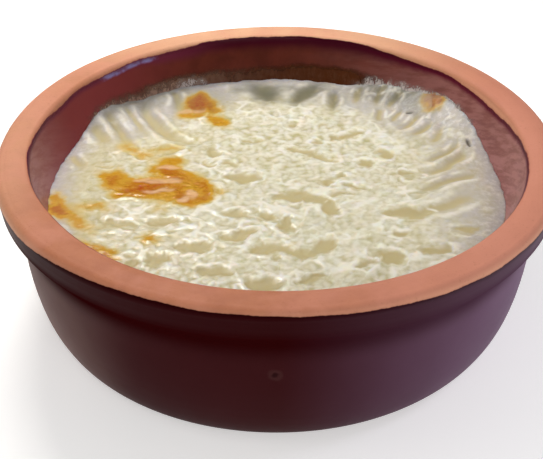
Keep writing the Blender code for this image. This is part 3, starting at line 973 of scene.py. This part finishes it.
def clay_material(dish):
    """Satin maroon glaze that stops at a wandering line, and matt mottled terracotta above it."""
    paint = Paint(bpy.data.materials.new("glaze_and_terracotta"))
    where = paint.place()
    up = paint.part(where, "Z")
    inside = paint.attribute("inside")
    grain = paint.noise(where, 0.9 * MM, 3.0, 0.6)
    line = paint.attribute("bare") + 0.6 * (paint.noise(where, 1.6 * MM, 4.0, 0.65) - 0.5)
    specks = paint.ease(paint.noise(where, 0.55 * MM, 2.0, 0.5), 0.60, 0.74)
    clay = bare_colour(paint, dish, where, line, grain, specks)
    rough = paint.bump(0.10 * grain + 0.05 * specks, MM, 0.7)
    matt = paint.shader(CLAY_CONSTANTS, colour=clay, roughness=0.58 + 0.16 * grain, normal=rough)
    blot = paint.noise(where, 6.0 * MM, 4.0, 0.6)
    outer = outer_colour(paint, dish, where, line)
    glaze = paint.mix(inside, outer, inner_colour(paint, dish, where, line, blot))
    rings = paint.noise(paint.stretch(where, (0.12, 0.12, 1.0)), 1.4 * MM, 2.0, 0.5)
    peel = paint.noise(where, 2.0 * MM, 1.0, 0.4)
    bead = 0.35 * inside * paint.ease(line, 0.0, -0.9)
    waves = paint.bump(0.002 * rings + 0.006 * peel + bead, MM, 0.8)
    gloss = 0.42 + 0.16 * blot - 0.12 * inside
    satin = paint.shader(GLAZE_CONSTANTS, colour=glaze, roughness=gloss, coat=inside * 0.12, normal=waves)
    dull = paint.shader(DULL_CONSTANTS, colour=glaze, roughness=0.9)
    groove = paint.ease(up, dish.height - 16.0 * MM, dish.height - 12.0 * MM)
    groove = groove * paint.ease(up, dish.height - 5.0 * MM, dish.height - 8.0 * MM) * (1.0 - inside)
    glazed = paint.blend(groove, satin, dull)
    return paint.finish(paint.blend(paint.ease(line, -0.10, 0.14), glazed, matt))


def wall_climb(skin, bearing):
    """How far the skin stands above the fill where it meets the wall."""
    return skin.meniscus_rise + bumps(bearing, WALL_CLIMBS) * MM


def fold_relief(x, y):
    """Valleys along bends through three places, deepest at the wall, each between two soft ridges.

    Along a bend t runs from 0 to 1 and the place is wall * (1 - t)^2 + 2 * bend * t * (1 - t) + end * t^2.
    Gives the relief in metres, and how much of a valley floor and of a ridge each place is.
    """
    relief, floor, crest = np.zeros_like(x), np.zeros_like(x), np.zeros_like(x)
    x = x + 0.7 * MM * layered(x, y, 6.0 * MM, 161, 2)
    y = y + 0.7 * MM * layered(x, y, 6.0 * MM, 171, 2)
    t = np.linspace(0.0, 1.0, BEND_STEPS)
    for x0, y0, x1, y1, x2, y2, half_width, depth in FOLDS:
        bend_x = x0 * (1 - t) ** 2 + 2 * x1 * t * (1 - t) + x2 * t**2
        bend_y = y0 * (1 - t) ** 2 + 2 * y1 * t * (1 - t) + y2 * t**2
        reach = (6.0 * half_width + 4.0) * MM
        near = (x > bend_x.min() * MM - reach) & (x < bend_x.max() * MM + reach)
        near &= (y > bend_y.min() * MM - reach) & (y < bend_y.max() * MM + reach)
        away = np.hypot(x[near][:, None] / MM - bend_x, y[near][:, None] / MM - bend_y)
        along = t[away.argmin(axis=1)]
        across = away.min(axis=1) / half_width
        fade = eased(along, -0.1, 0.25) * eased(along, 1.1, 0.6)
        valley = bell(across) * fade
        ridge = bell((across - 1.75) / 0.8) * fade
        relief[near] += depth * MM * (0.35 * ridge - valley)
        floor[near] = np.maximum(floor[near], valley)
        crest[near] = np.maximum(crest[near], ridge)
    uneven = np.clip(0.75 + 0.6 * layered(x, y, 3.4 * MM, 201, 2), 0.2, 1.0)
    return relief, floor, crest * (1.0 - floor) * uneven


def pool_relief(skin, x, y):
    """Shallow pools with a thin raised lip, run together where they meet. Gives relief, sunk share and lip.

    With d the millimetres outside the nearest outline: relief = lip * bell(d - 1) - depth * fall(d).
    """
    shift_x = 1.7 * MM * layered(x, y, 4.0 * MM, 21, 4)
    shift_y = 1.4 * MM * layered(x, y, 4.0 * MM, 31, 4)
    away = np.full_like(x, 99.0)
    for pool in POOLS:
        away = np.minimum(away, ellipse_away(x + shift_x, y + shift_y, *pool))
    sunk = eased(away, 0.9, -1.5)
    broken = clipped(0.45 + 0.9 * layered(x, y, 2.4 * MM, 211, 2))
    lip = bell((away - 1.0) / 0.8) * broken
    return skin.pool_lip * lip - skin.pool_depth * eased(away, 0.9, -2.0), sunk, lip


def shares_laid(patches, x, y, reach, seed):
    """Share from 0 to 1 of soft patches laid over each other: ellipses whose outlines wander by a reach."""
    share = np.zeros_like(x)
    x, y = wandered(x, y, reach, 3.2 * MM, seed, 3)
    for *patch, strength in patches:
        away = ellipse_away(x, y, *patch)
        share = share + (1.0 - share) * strength * eased(away, 2.8, -2.6)
    return share


def pale_share(x, y):
    """Ridges that stayed pale inside the browned places."""
    share = np.zeros_like(x)
    shift = 0.7 * MM * layered(x, y, 3.0 * MM, 61, 2)
    for ridge in PALE_RIDGES:
        share = np.maximum(share, eased(ellipse_away(x, y + shift, *ridge), 0.7, -0.3))
    return share


def skin_outline(skin, dish, bearing):
    """The skin's edge on the wall: its smooth climb, its ragged rise above the fill, and its radius."""
    climb = wall_climb(skin, bearing)
    rise = climb + skin.ragged * (1.0 + bumps(bearing, RAGGED)) * around_axis(bearing, 24.0, 3, 4)
    level = dish.height - skin.fill_drop + rise
    return climb, rise, hollow_radius(dish, level) + SKIN_TUCK + swell(dish, level, bearing)


def wrinkles(skin, x, y, middle, calm):
    """Cells of two sizes with ridges between them. Gives ridge, level of the cells and their tone."""
    broken = clipped(0.5 + 1.0 * layered(x, y, 3.8 * MM, 101, 2))
    warped = wandered(x, y, 1.3 * MM, 4.6 * MM, 71, 3)
    coarse, coarse_tone = cells(*warped, skin.wrinkle_pitch, 91)
    small, small_tone = cells(*warped, 0.5 * skin.wrinkle_pitch, 111)
    ridge = bell(coarse / (1.35 * MM)) * broken
    ridge = np.maximum(ridge, 0.4 * bell(small / (0.80 * MM)) * (1.0 - 0.6 * broken))
    ridge = ridge * (1.0 - 0.6 * calm) * (1.0 - 0.6 * middle)
    level = (coarse_tone - 0.5) * (1.0 - calm) * (1.0 - 0.7 * middle) * eased(coarse, 0.0, 1.2 * MM)
    tone = (0.6 * coarse_tone + 0.4 * small_tone) * (1.0 - calm) + 0.5 * calm
    return ridge, level, tone


def skin_surface(skin, dish, x, y):
    """Height of the skin over the disc, and what its colours need.

    Height = fill + climb near the wall + folds + pools + wrinkles between cells + rice under the skin.
    """
    bearing = np.degrees(np.arctan2(y, x))
    climb, rise, wall = skin_outline(skin, dish, bearing)
    x, y, radius = wall * x, wall * y, wall * np.hypot(x, y)
    near_wall = clipped(1.0 - (wall - radius) / skin.meniscus_width)
    fold, valley, crest = fold_relief(x, y)
    pool, sunk, lip = pool_relief(skin, x, y)
    calm = eased(radius, 36.0 * MM, 48.0 * MM) * eased(y, -30.0 * MM, -14.0 * MM)
    middle = bell((x - 6.0 * MM) / (24.0 * MM)) * bell((y - 17.0 * MM) / (16.0 * MM))
    far = eased(radius - 0.25 * y, 20.0 * MM, 40.0 * MM) * eased(y, 6.0 * MM, 30.0 * MM)
    pit = np.zeros_like(x)
    for dark in PITS:
        pit = np.maximum(pit, eased(ellipse_away(x, y, *dark), 0.45, -0.2))
    smooth = clipped(1.2 * (valley + crest))
    ridge, level, tone = wrinkles(skin, x, y, middle, calm)
    ridge = ridge * (1.0 - sunk) * (1.0 - 0.85 * smooth)
    grains = rice(x, y, 0.62 * skin.rice_length, skin.rice_length, skin.rice_width, 121)
    lumpy = (0.75 + 0.25 * middle) * (1.0 - sunk) * (1.0 - 0.5 * calm) * (1.0 - 0.7 * smooth)
    crumb = eased(radius, 45.0 * MM, 50.0 * MM) * clipped(bumps(bearing, CRUMBS))
    crumbs = crumb * clipped(layered(x, y, 2.2 * MM, 191, 3))
    fine = (0.03 + 0.03 * middle) * MM * layered(x, y, 1.6 * MM, 141, 2) + 0.25 * MM * crumbs
    inside = 1.0 - clipped(1.0 - (wall - radius) / (2.4 * MM)) ** 2
    relief = fold + pool - 0.5 * MM * pit + skin.wrinkle * ridge + skin.rice_height * grains * lumpy + fine
    relief += 0.5 * skin.wrinkle * level
    curl = clipped(1.0 - (wall - radius) / (2.0 * MM)) ** 2
    height = dish.height - skin.fill_drop + climb * near_wall**2 + (rise - climb) * curl + relief * inside
    rims = lip * (1.0 - sunk) * (1.0 - 0.7 * calm)
    # White ridges, crumbs and pool lips, and on the fold crests painted light
    white = np.max([ridge, crumbs, 0.75 * crest, rims], axis=0)
    colours = {
        # Pools and fold valleys: their tan is partly painted shade
        "sunk": clipped(np.maximum(sunk, 0.85 * valley)),
        "browned": shares_laid(BROWNED, x, y, 0.8 * MM, 41),
        "pale": pale_share(x, y),
        "ridge": clipped(white),
        # Where the skin climbs the wall, and painted shade near the wall, at the back and on the right
        "hung": np.max([near_wall, 0.8 * far, 0.65 * eased(x, 20.0 * MM, 46.0 * MM)], axis=0),
        "pit": pit,
        "dusk": shares_laid(PAINTED_SHADOWS, x, y, 1.0 * MM, 181),
        "dry": clipped(crumb + 0.25 * near_wall),
        "grain": grains * lumpy,
        "middle": middle,
        "tone": tone,
    }
    return np.stack([x, y, height], axis=-1), colours


def square_to_disc(u, v):
    """A square from -1 to 1 carried to a disc: each square ring becomes a circle."""
    upright = np.abs(v) > np.abs(u)
    signed = np.where(upright, v, u)
    lean = np.divide(np.where(upright, u, v), signed, out=np.zeros_like(u), where=np.abs(signed) > 1e-9)
    turn = 0.25 * math.pi * lean
    across = np.where(upright, np.sin(turn), np.cos(turn)) * signed
    away = np.where(upright, np.cos(turn), np.sin(turn)) * signed
    return across, away


def milk_material(skin):
    """Wet milk skin: white ridges, cream flats, tan pools and browning from straw to russet; painted shadow
    at the back wall, painted shade and light in folds, pools and pits.
    """
    paint = Paint(bpy.data.materials.new("baked_milk_skin"))
    where = paint.place()
    sunk, ridge, hung = paint.attribute("sunk"), paint.attribute("ridge"), paint.attribute("hung")
    browned, middle = paint.attribute("browned"), paint.attribute("middle")
    clouds = paint.noise(where, 4.0 * MM, 4.0, 0.6)
    fine = paint.noise(where, 1.1 * MM, 3.0, 0.6)
    specks = paint.ease(paint.noise(where, 1.1 * MM, 4.0, 0.65), 0.44, 0.70)
    lines = paint.ease(paint.cracks(paint.warp(where, 2.6 * MM, 0.9 * MM), 2.4 * MM), 0.22, 0.02)
    light = paint.attribute("tone") + 0.8 * (clouds - 0.5) + 0.5 * (fine - 0.5)
    left = paint.ease(paint.part(where, "X"), 4.0 * MM, -36.0 * MM)
    climbing = hung + 0.5 * (clouds - 0.5) + 0.4 * (fine - 0.5)
    toast = browned * (1.0 + 0.5 * (fine - 0.5)) + 0.16 * (clouds - 0.5) * paint.ease(browned, 0.0, 0.2)
    toast = toast - 0.12 * ridge
    tint = paint.coats(
        skin.straw,
        (paint.ease(toast, 0.24, 0.56), skin.gold),
        (paint.ease(toast, 0.56, 0.86), skin.amber),
        (paint.ease(toast, 0.86, 1.08), skin.russet),
    )
    colour = paint.coats(
        skin.cream,
        (paint.ease(light, 0.15, 0.85), skin.pale_cream),
        (0.75 * left * (1.0 - 0.7 * hung), skin.warm_cream),
        ((0.35 + 0.45 * middle) * paint.ease(fine, 0.62, 0.38), skin.custard),
        (paint.attribute("grain") * 0.8, skin.white),
        # Greyer skin where it climbs: partly drier skin, partly painted shade
        (paint.ease(climbing, 0.25, 0.95) * 0.85, skin.edge),
        (0.42 * paint.attribute("dry") * specks, skin.white),
        # Tan in pools and fold valleys, partly painted shade
        (paint.ease(sunk + 0.30 * (fine - 0.5), 0.10, 0.95) * 0.95, skin.pool),
        # White on ridges; on fold crests this is painted light
        (paint.ease(ridge + 0.3 * (fine - 0.5), 0.12, 0.95) * 0.8, skin.white),
        (lines * 0.10 * (1.0 - sunk) * (1.0 - hung), skin.white),
        # Painted shade inside the small holes
        (0.85 * paint.attribute("pit"), skin.pit),
        (paint.ease(toast, 0.0, 0.52), tint),
        (paint.attribute("pale") * 0.65, skin.blush),
        # Painted shadow near the back wall, laid over the browning too
        (paint.attribute("dusk") * (1.0 - 0.6 * ridge), skin.dusk),
    )
    wet = 0.17 + 0.14 * clouds + 0.24 * sunk + 0.22 * hung
    normal = paint.bump(0.02 * lines * (1.0 - sunk) + 0.05 * fine + 0.03 * clouds, MM, 0.7)
    return paint.finish(paint.shader(SKIN_CONSTANTS, colour=colour, roughness=wet, normal=normal))


def film_points(skin, dish, low, high, thickness, columns, rows):
    """A patch on the inner wall, up from the skin's edge. Gives points, bearings and shares of the way up."""
    bearing = np.linspace(low, high, columns)[None, :] + np.zeros((rows, 1))
    up = np.linspace(0.0, 1.0, rows)[:, None] + np.zeros((1, columns))
    edge = dish.height - skin.fill_drop + wall_climb(skin, bearing) - FILM_START
    top = dish.height - FILM_END
    z = edge + (top - edge) * up
    turn = np.radians(bearing)
    lumps = layered(turn * 60.0, z / MM * 0.8, 1.6, 151, 3)
    stand = thickness * (1.0 + 0.45 * lumps) * (1.0 - up**3)
    radius = hollow_radius(dish, z) + swell(dish, z, bearing) - np.maximum(stand, FILM_LEAST)
    return turned(radius, turn, z), bearing, up


def film_material(name, colours, streak, ragged, roughness):
    """A dried film, streaked upright and thinning to nothing where its cover falls to 0.

    Its second colour is laid on where the value named thin is 1.
    """
    paint = Paint(bpy.data.materials.new(name))
    where = paint.place()
    amount, thin = paint.attribute("cover"), paint.attribute("thin")
    upright = paint.noise(paint.stretch(where, (1.0, 1.0, 0.35)), streak, 4.0, 0.6)
    blotch = paint.noise(where, 2.4 * MM, 4.0, 0.6)
    mask = paint.ease(amount, 0.0, 0.35) * paint.ease(amount + ragged * (upright + blotch - 1.0), 0.05, 0.90)
    colour = paint.mix(thin + 0.9 * (upright - 0.5) + 0.6 * (blotch - 0.5), colours[0], colours[1])
    normal = paint.bump(upright + blotch, 0.25 * MM, 0.9)
    dried = paint.shader(FILM_CONSTANTS, colour=colour, roughness=roughness, normal=normal, alpha=mask)
    return paint.finish(dried)


class BuildClayDish(bpy.types.Operator):
    """Turns the dish, with its bare rim and the glaze line"""

    bl_idname = "object.build_clay_dish"
    bl_label = "Build clay dish"

    def execute(self, context):
        dish = context.scene.clay_dish
        points, bare, inside = dish_points(dish, DISH_TURNS)
        rings = np.arange(bare.size).reshape(bare.shape)
        poles = np.array([[0.0, 0.0, dish.floor_thickness], [0.0, 0.0, 0.0]])
        faces = [
            rings_to_faces(rings),
            fan_to_faces(rings[0][::-1], bare.size),
            fan_to_faces(rings[-1], bare.size + 1),
        ]
        everything = np.concatenate([points.reshape(-1, 3), poles])
        values = {
            "bare": np.append(bare.ravel(), (-5.0, 5.0)),
            "inside": np.append(inside.ravel(), (1.0, 0.0)),
        }
        piece = make_piece("clay_dish", everything, faces, values, clay_material(dish))
        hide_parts("dish")
        return {"FINISHED"}


class BuildPudding(bpy.types.Operator):
    """Fills the dish with pudding, up to its wrinkled and browned skin"""

    bl_idname = "object.build_pudding"
    bl_label = "Build pudding"

    def execute(self, context):
        skin, dish = context.scene.milk_skin, context.scene.clay_dish
        steps = np.linspace(-1.0, 1.0, SKIN_SIDE)
        v, u = np.meshgrid(steps, steps, indexing="ij")
        points, colours = skin_surface(skin, dish, *square_to_disc(u, v))
        grid = np.arange(u.size).reshape(u.shape)
        rim = np.concatenate([grid[0, :-1], grid[:-1, -1], grid[-1, :0:-1], grid[:0:-1, 0]])
        edge = points.reshape(-1, 3)[rim]
        turn = np.arctan2(edge[:, 1], edge[:, 0])
        top = dish.height - skin.fill_drop - SKIRT_DROP
        levels = np.linspace(top, PUDDING_LOW.z, SKIRT_RINGS)[:, None]
        radius = hollow_radius(dish, levels) + swell(dish, levels, np.degrees(turn)) - SKIRT_GAP
        skirt = turned(radius, turn, levels)
        below = grid.size + np.arange(skirt.shape[0] * rim.size).reshape(skirt.shape[0], rim.size)
        pole = grid.size + below.size
        rings = np.concatenate([rim[None, :], below])
        faces = [grid_to_faces(grid), rings_to_faces(rings)[:, ::-1], fan_to_faces(rings[-1][::-1], pole)]
        foot = [[0.0, 0.0, PUDDING_LOW.z]]
        everything = np.concatenate([points.reshape(-1, 3), skirt.reshape(-1, 3), foot])
        values = {key: np.append(field.ravel(), np.zeros(below.size + 1)) for key, field in colours.items()}
        piece = make_piece("pudding_and_skin", everything, faces, values, milk_material(skin))
        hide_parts("pudding")
        return {"FINISHED"}


class BuildWallFilm(bpy.types.Operator):
    """Adds what dried on the wall above the skin: a dark baked ring at the back and thin milky film"""

    bl_idname = "object.build_wall_film"
    bl_label = "Build wall film"

    def execute(self, context):
        film, skin, dish = context.scene.wall_film, context.scene.milk_skin, context.scene.clay_dish
        self.add_ring(film, skin, dish)
        self.add_milk(film, skin, dish)
        return {"FINISHED"}

    def add_ring(self, film, skin, dish):
        """The baked ring: dark from 62 to 95 degrees, browner and thinner on to the left."""
        points, bearing, up = film_points(skin, dish, *RING_SPAN, film.thickness, *RING_GRID)
        reach = up + 0.05 * layered(bearing, up, 9.0, 221, 3)
        cover = np.clip(bumps(bearing, RING_COVER), 0.0, 1.1) * eased(reach, 0.74, 0.28)
        thin = eased(bearing, 88.0, 118.0)
        finish = film_material("baked_milk_ring", (film.baked, film.baked_light), 0.9 * MM, 0.45, 0.5)
        self.add_patch("baked_milk_ring", points, {"cover": cover, "thin": thin}, finish)

    def add_milk(self, film, skin, dish):
        """The milky film: lace above the raised skin on the right, and streaks on the left."""
        points, bearing, up = film_points(skin, dish, *MILK_SPAN, 1.7 * film.thickness, *MILK_GRID)
        cover = np.clip(bumps(bearing, MILK_COVER), 0.0, 1.4) * clipped(1.3 - 2.4 * up)
        thin = eased(bearing, 117.0, 121.0)
        finish = film_material("milk_film", (film.film, film.film_brown), 0.5 * MM, 1.5, 0.4)
        self.add_patch("milk_film", points, {"cover": cover, "thin": thin}, finish)

    def add_patch(self, name, points, fields, finish):
        """One patch of film as an open sheet that faces the axis of the dish."""
        grid = np.arange(points.shape[0] * points.shape[1]).reshape(points.shape[:2])
        values = {key: field.ravel() for key, field in fields.items()}
        piece = make_piece(name, points.reshape(-1, 3), [grid_to_faces(grid)[:, ::-1]], values, finish)


class BuildStage(bpy.types.Operator):
    """Lays the pale floor, sets soft lights and aims the camera"""

    bl_idname = "object.build_pudding_stage"
    bl_label = "Build stage"

    def execute(self, context):
        stage = context.scene.pudding_stage
        self.add_floor(stage)
        self.add_sky(context, stage)
        for name, watts, place, size, colour in LIGHTS:
            self.add_light(name, place, size, getattr(stage, watts), colour)
        self.add_camera(context, stage)
        return {"FINISHED"}

    def add_floor(self, stage):
        """A flat square of floor with a faint grain."""
        half = 0.5 * stage.floor_size
        mesh = bpy.data.meshes.new("floor")
        corners = [(-half, -half, 0.0), (half, -half, 0.0), (half, half, 0.0), (-half, half, 0.0)]
        mesh.from_pydata(corners, [], [(0, 1, 2, 3)])
        paint = Paint(bpy.data.materials.new("pale_floor"))
        where = paint.place()
        darker = [0.97 * part for part in stage.floor]
        tone = paint.mix(paint.noise(where, 0.05, 3.0, 0.5) * 0.2, stage.floor, darker)
        glow = {
            "Specular IOR Level": 0.1,
            "Emission Color": (1.0, 1.0, 1.0, 1.0),
            "Emission Strength": stage.glow,
        }
        grain = paint.bump(paint.noise(where, 4.0 * MM), 0.05 * MM, 0.3)
        mesh.materials.append(paint.finish(paint.shader(glow, colour=tone, roughness=0.9, normal=grain)))
        floor = bpy.data.objects.new("floor", mesh)
        bpy.context.scene.collection.objects.link(floor)

    def add_sky(self, context, stage):
        """Pale light from all round, stronger overhead: horizon + (overhead - horizon) * height cubed."""
        paint = Paint(bpy.data.worlds.new("pale_room"), "ShaderNodeOutputWorld")
        height = paint.part(paint.node("ShaderNodeTexCoord", {}, {}, "Generated"), "Z")
        spread = {"Value": height**3.0, "To Min": stage.horizon, "To Max": stage.sky}
        strength = paint.node("ShaderNodeMapRange", {}, spread)
        light = {"Color": SKY_COLOUR, "Strength": strength}
        context.scene.world = paint.finish(paint.node("ShaderNodeBackground", {}, light))

    def add_light(self, name, place, size, watts, colour):
        """A soft rectangular light that looks at the dish."""
        light = bpy.data.lights.new(name, "AREA")
        light.shape = "RECTANGLE"
        light.size, light.size_y = size
        light.energy = watts
        light.color = colour
        lamp = bpy.data.objects.new(name, light)
        lamp.location = place
        aim = Vector(LIGHT_AIM) - lamp.location
        lamp.rotation_euler = aim.to_track_quat("-Z", "Y").to_euler()
        bpy.context.scene.collection.objects.link(lamp)

    def add_camera(self, context, stage):
        """The camera stands off the rim's middle and looks down, swung and rolled by a trace."""
        lens = bpy.data.cameras.new("camera")
        lens.lens = stage.lens
        camera = bpy.data.objects.new("camera", lens)
        back = stage.camera_distance * math.cos(stage.camera_height)
        lift = stage.camera_distance * math.sin(stage.camera_height) + DISH_HIGH.z
        turn = Matrix.Rotation(stage.camera_swing, 4, "Z")
        turn = turn @ Matrix.Rotation(0.5 * math.pi - stage.camera_pitch, 4, "X")
        turn = turn @ Matrix.Rotation(stage.camera_roll, 4, "Z")
        camera.matrix_world = Matrix.Translation((0.0, -back, lift)) @ turn
        context.scene.collection.objects.link(camera)
        context.scene.camera = camera
        context.scene.view_settings.view_transform = "Standard"


class PuddingPanel(bpy.types.Panel):
    """Lists the pudding's builders and their settings"""

    bl_idname = "VIEW3D_PT_rice_pudding"
    bl_label = "Rice pudding"
    bl_space_type = "VIEW_3D"
    bl_region_type = "UI"
    bl_category = "Pudding"

    def draw(self, context):
        for key, (group, builder) in PIECES.items():
            box = self.layout.box()
            box.operator(builder.bl_idname)
            for setting in group.__annotations__:
                box.prop(getattr(context.scene, key), setting)


# What the scene calls each group of settings, the group, and the builder that uses it
PIECES = {
    "clay_dish": (ClayDishSettings, BuildClayDish),
    "milk_skin": (MilkSkinSettings, BuildPudding),
    "wall_film": (WallFilmSettings, BuildWallFilm),
    "pudding_stage": (StageSettings, BuildStage),
}


def register():
    for key, (group, builder) in PIECES.items():
        bpy.utils.register_class(group)
        bpy.utils.register_class(builder)
        setattr(bpy.types.Scene, key, bpy.props.PointerProperty(type=group))
    bpy.utils.register_class(PuddingPanel)


def unregister():
    bpy.utils.unregister_class(PuddingPanel)
    for key, (group, builder) in PIECES.items():
        delattr(bpy.types.Scene, key)
        bpy.utils.unregister_class(builder)
        bpy.utils.unregister_class(group)


def main():
    register()
    bpy.ops.object.build_clay_dish()
    bpy.ops.object.build_pudding()
    bpy.ops.object.build_wall_film()
    bpy.ops.object.build_pudding_stage()


if __name__ == "__main__":
    main()
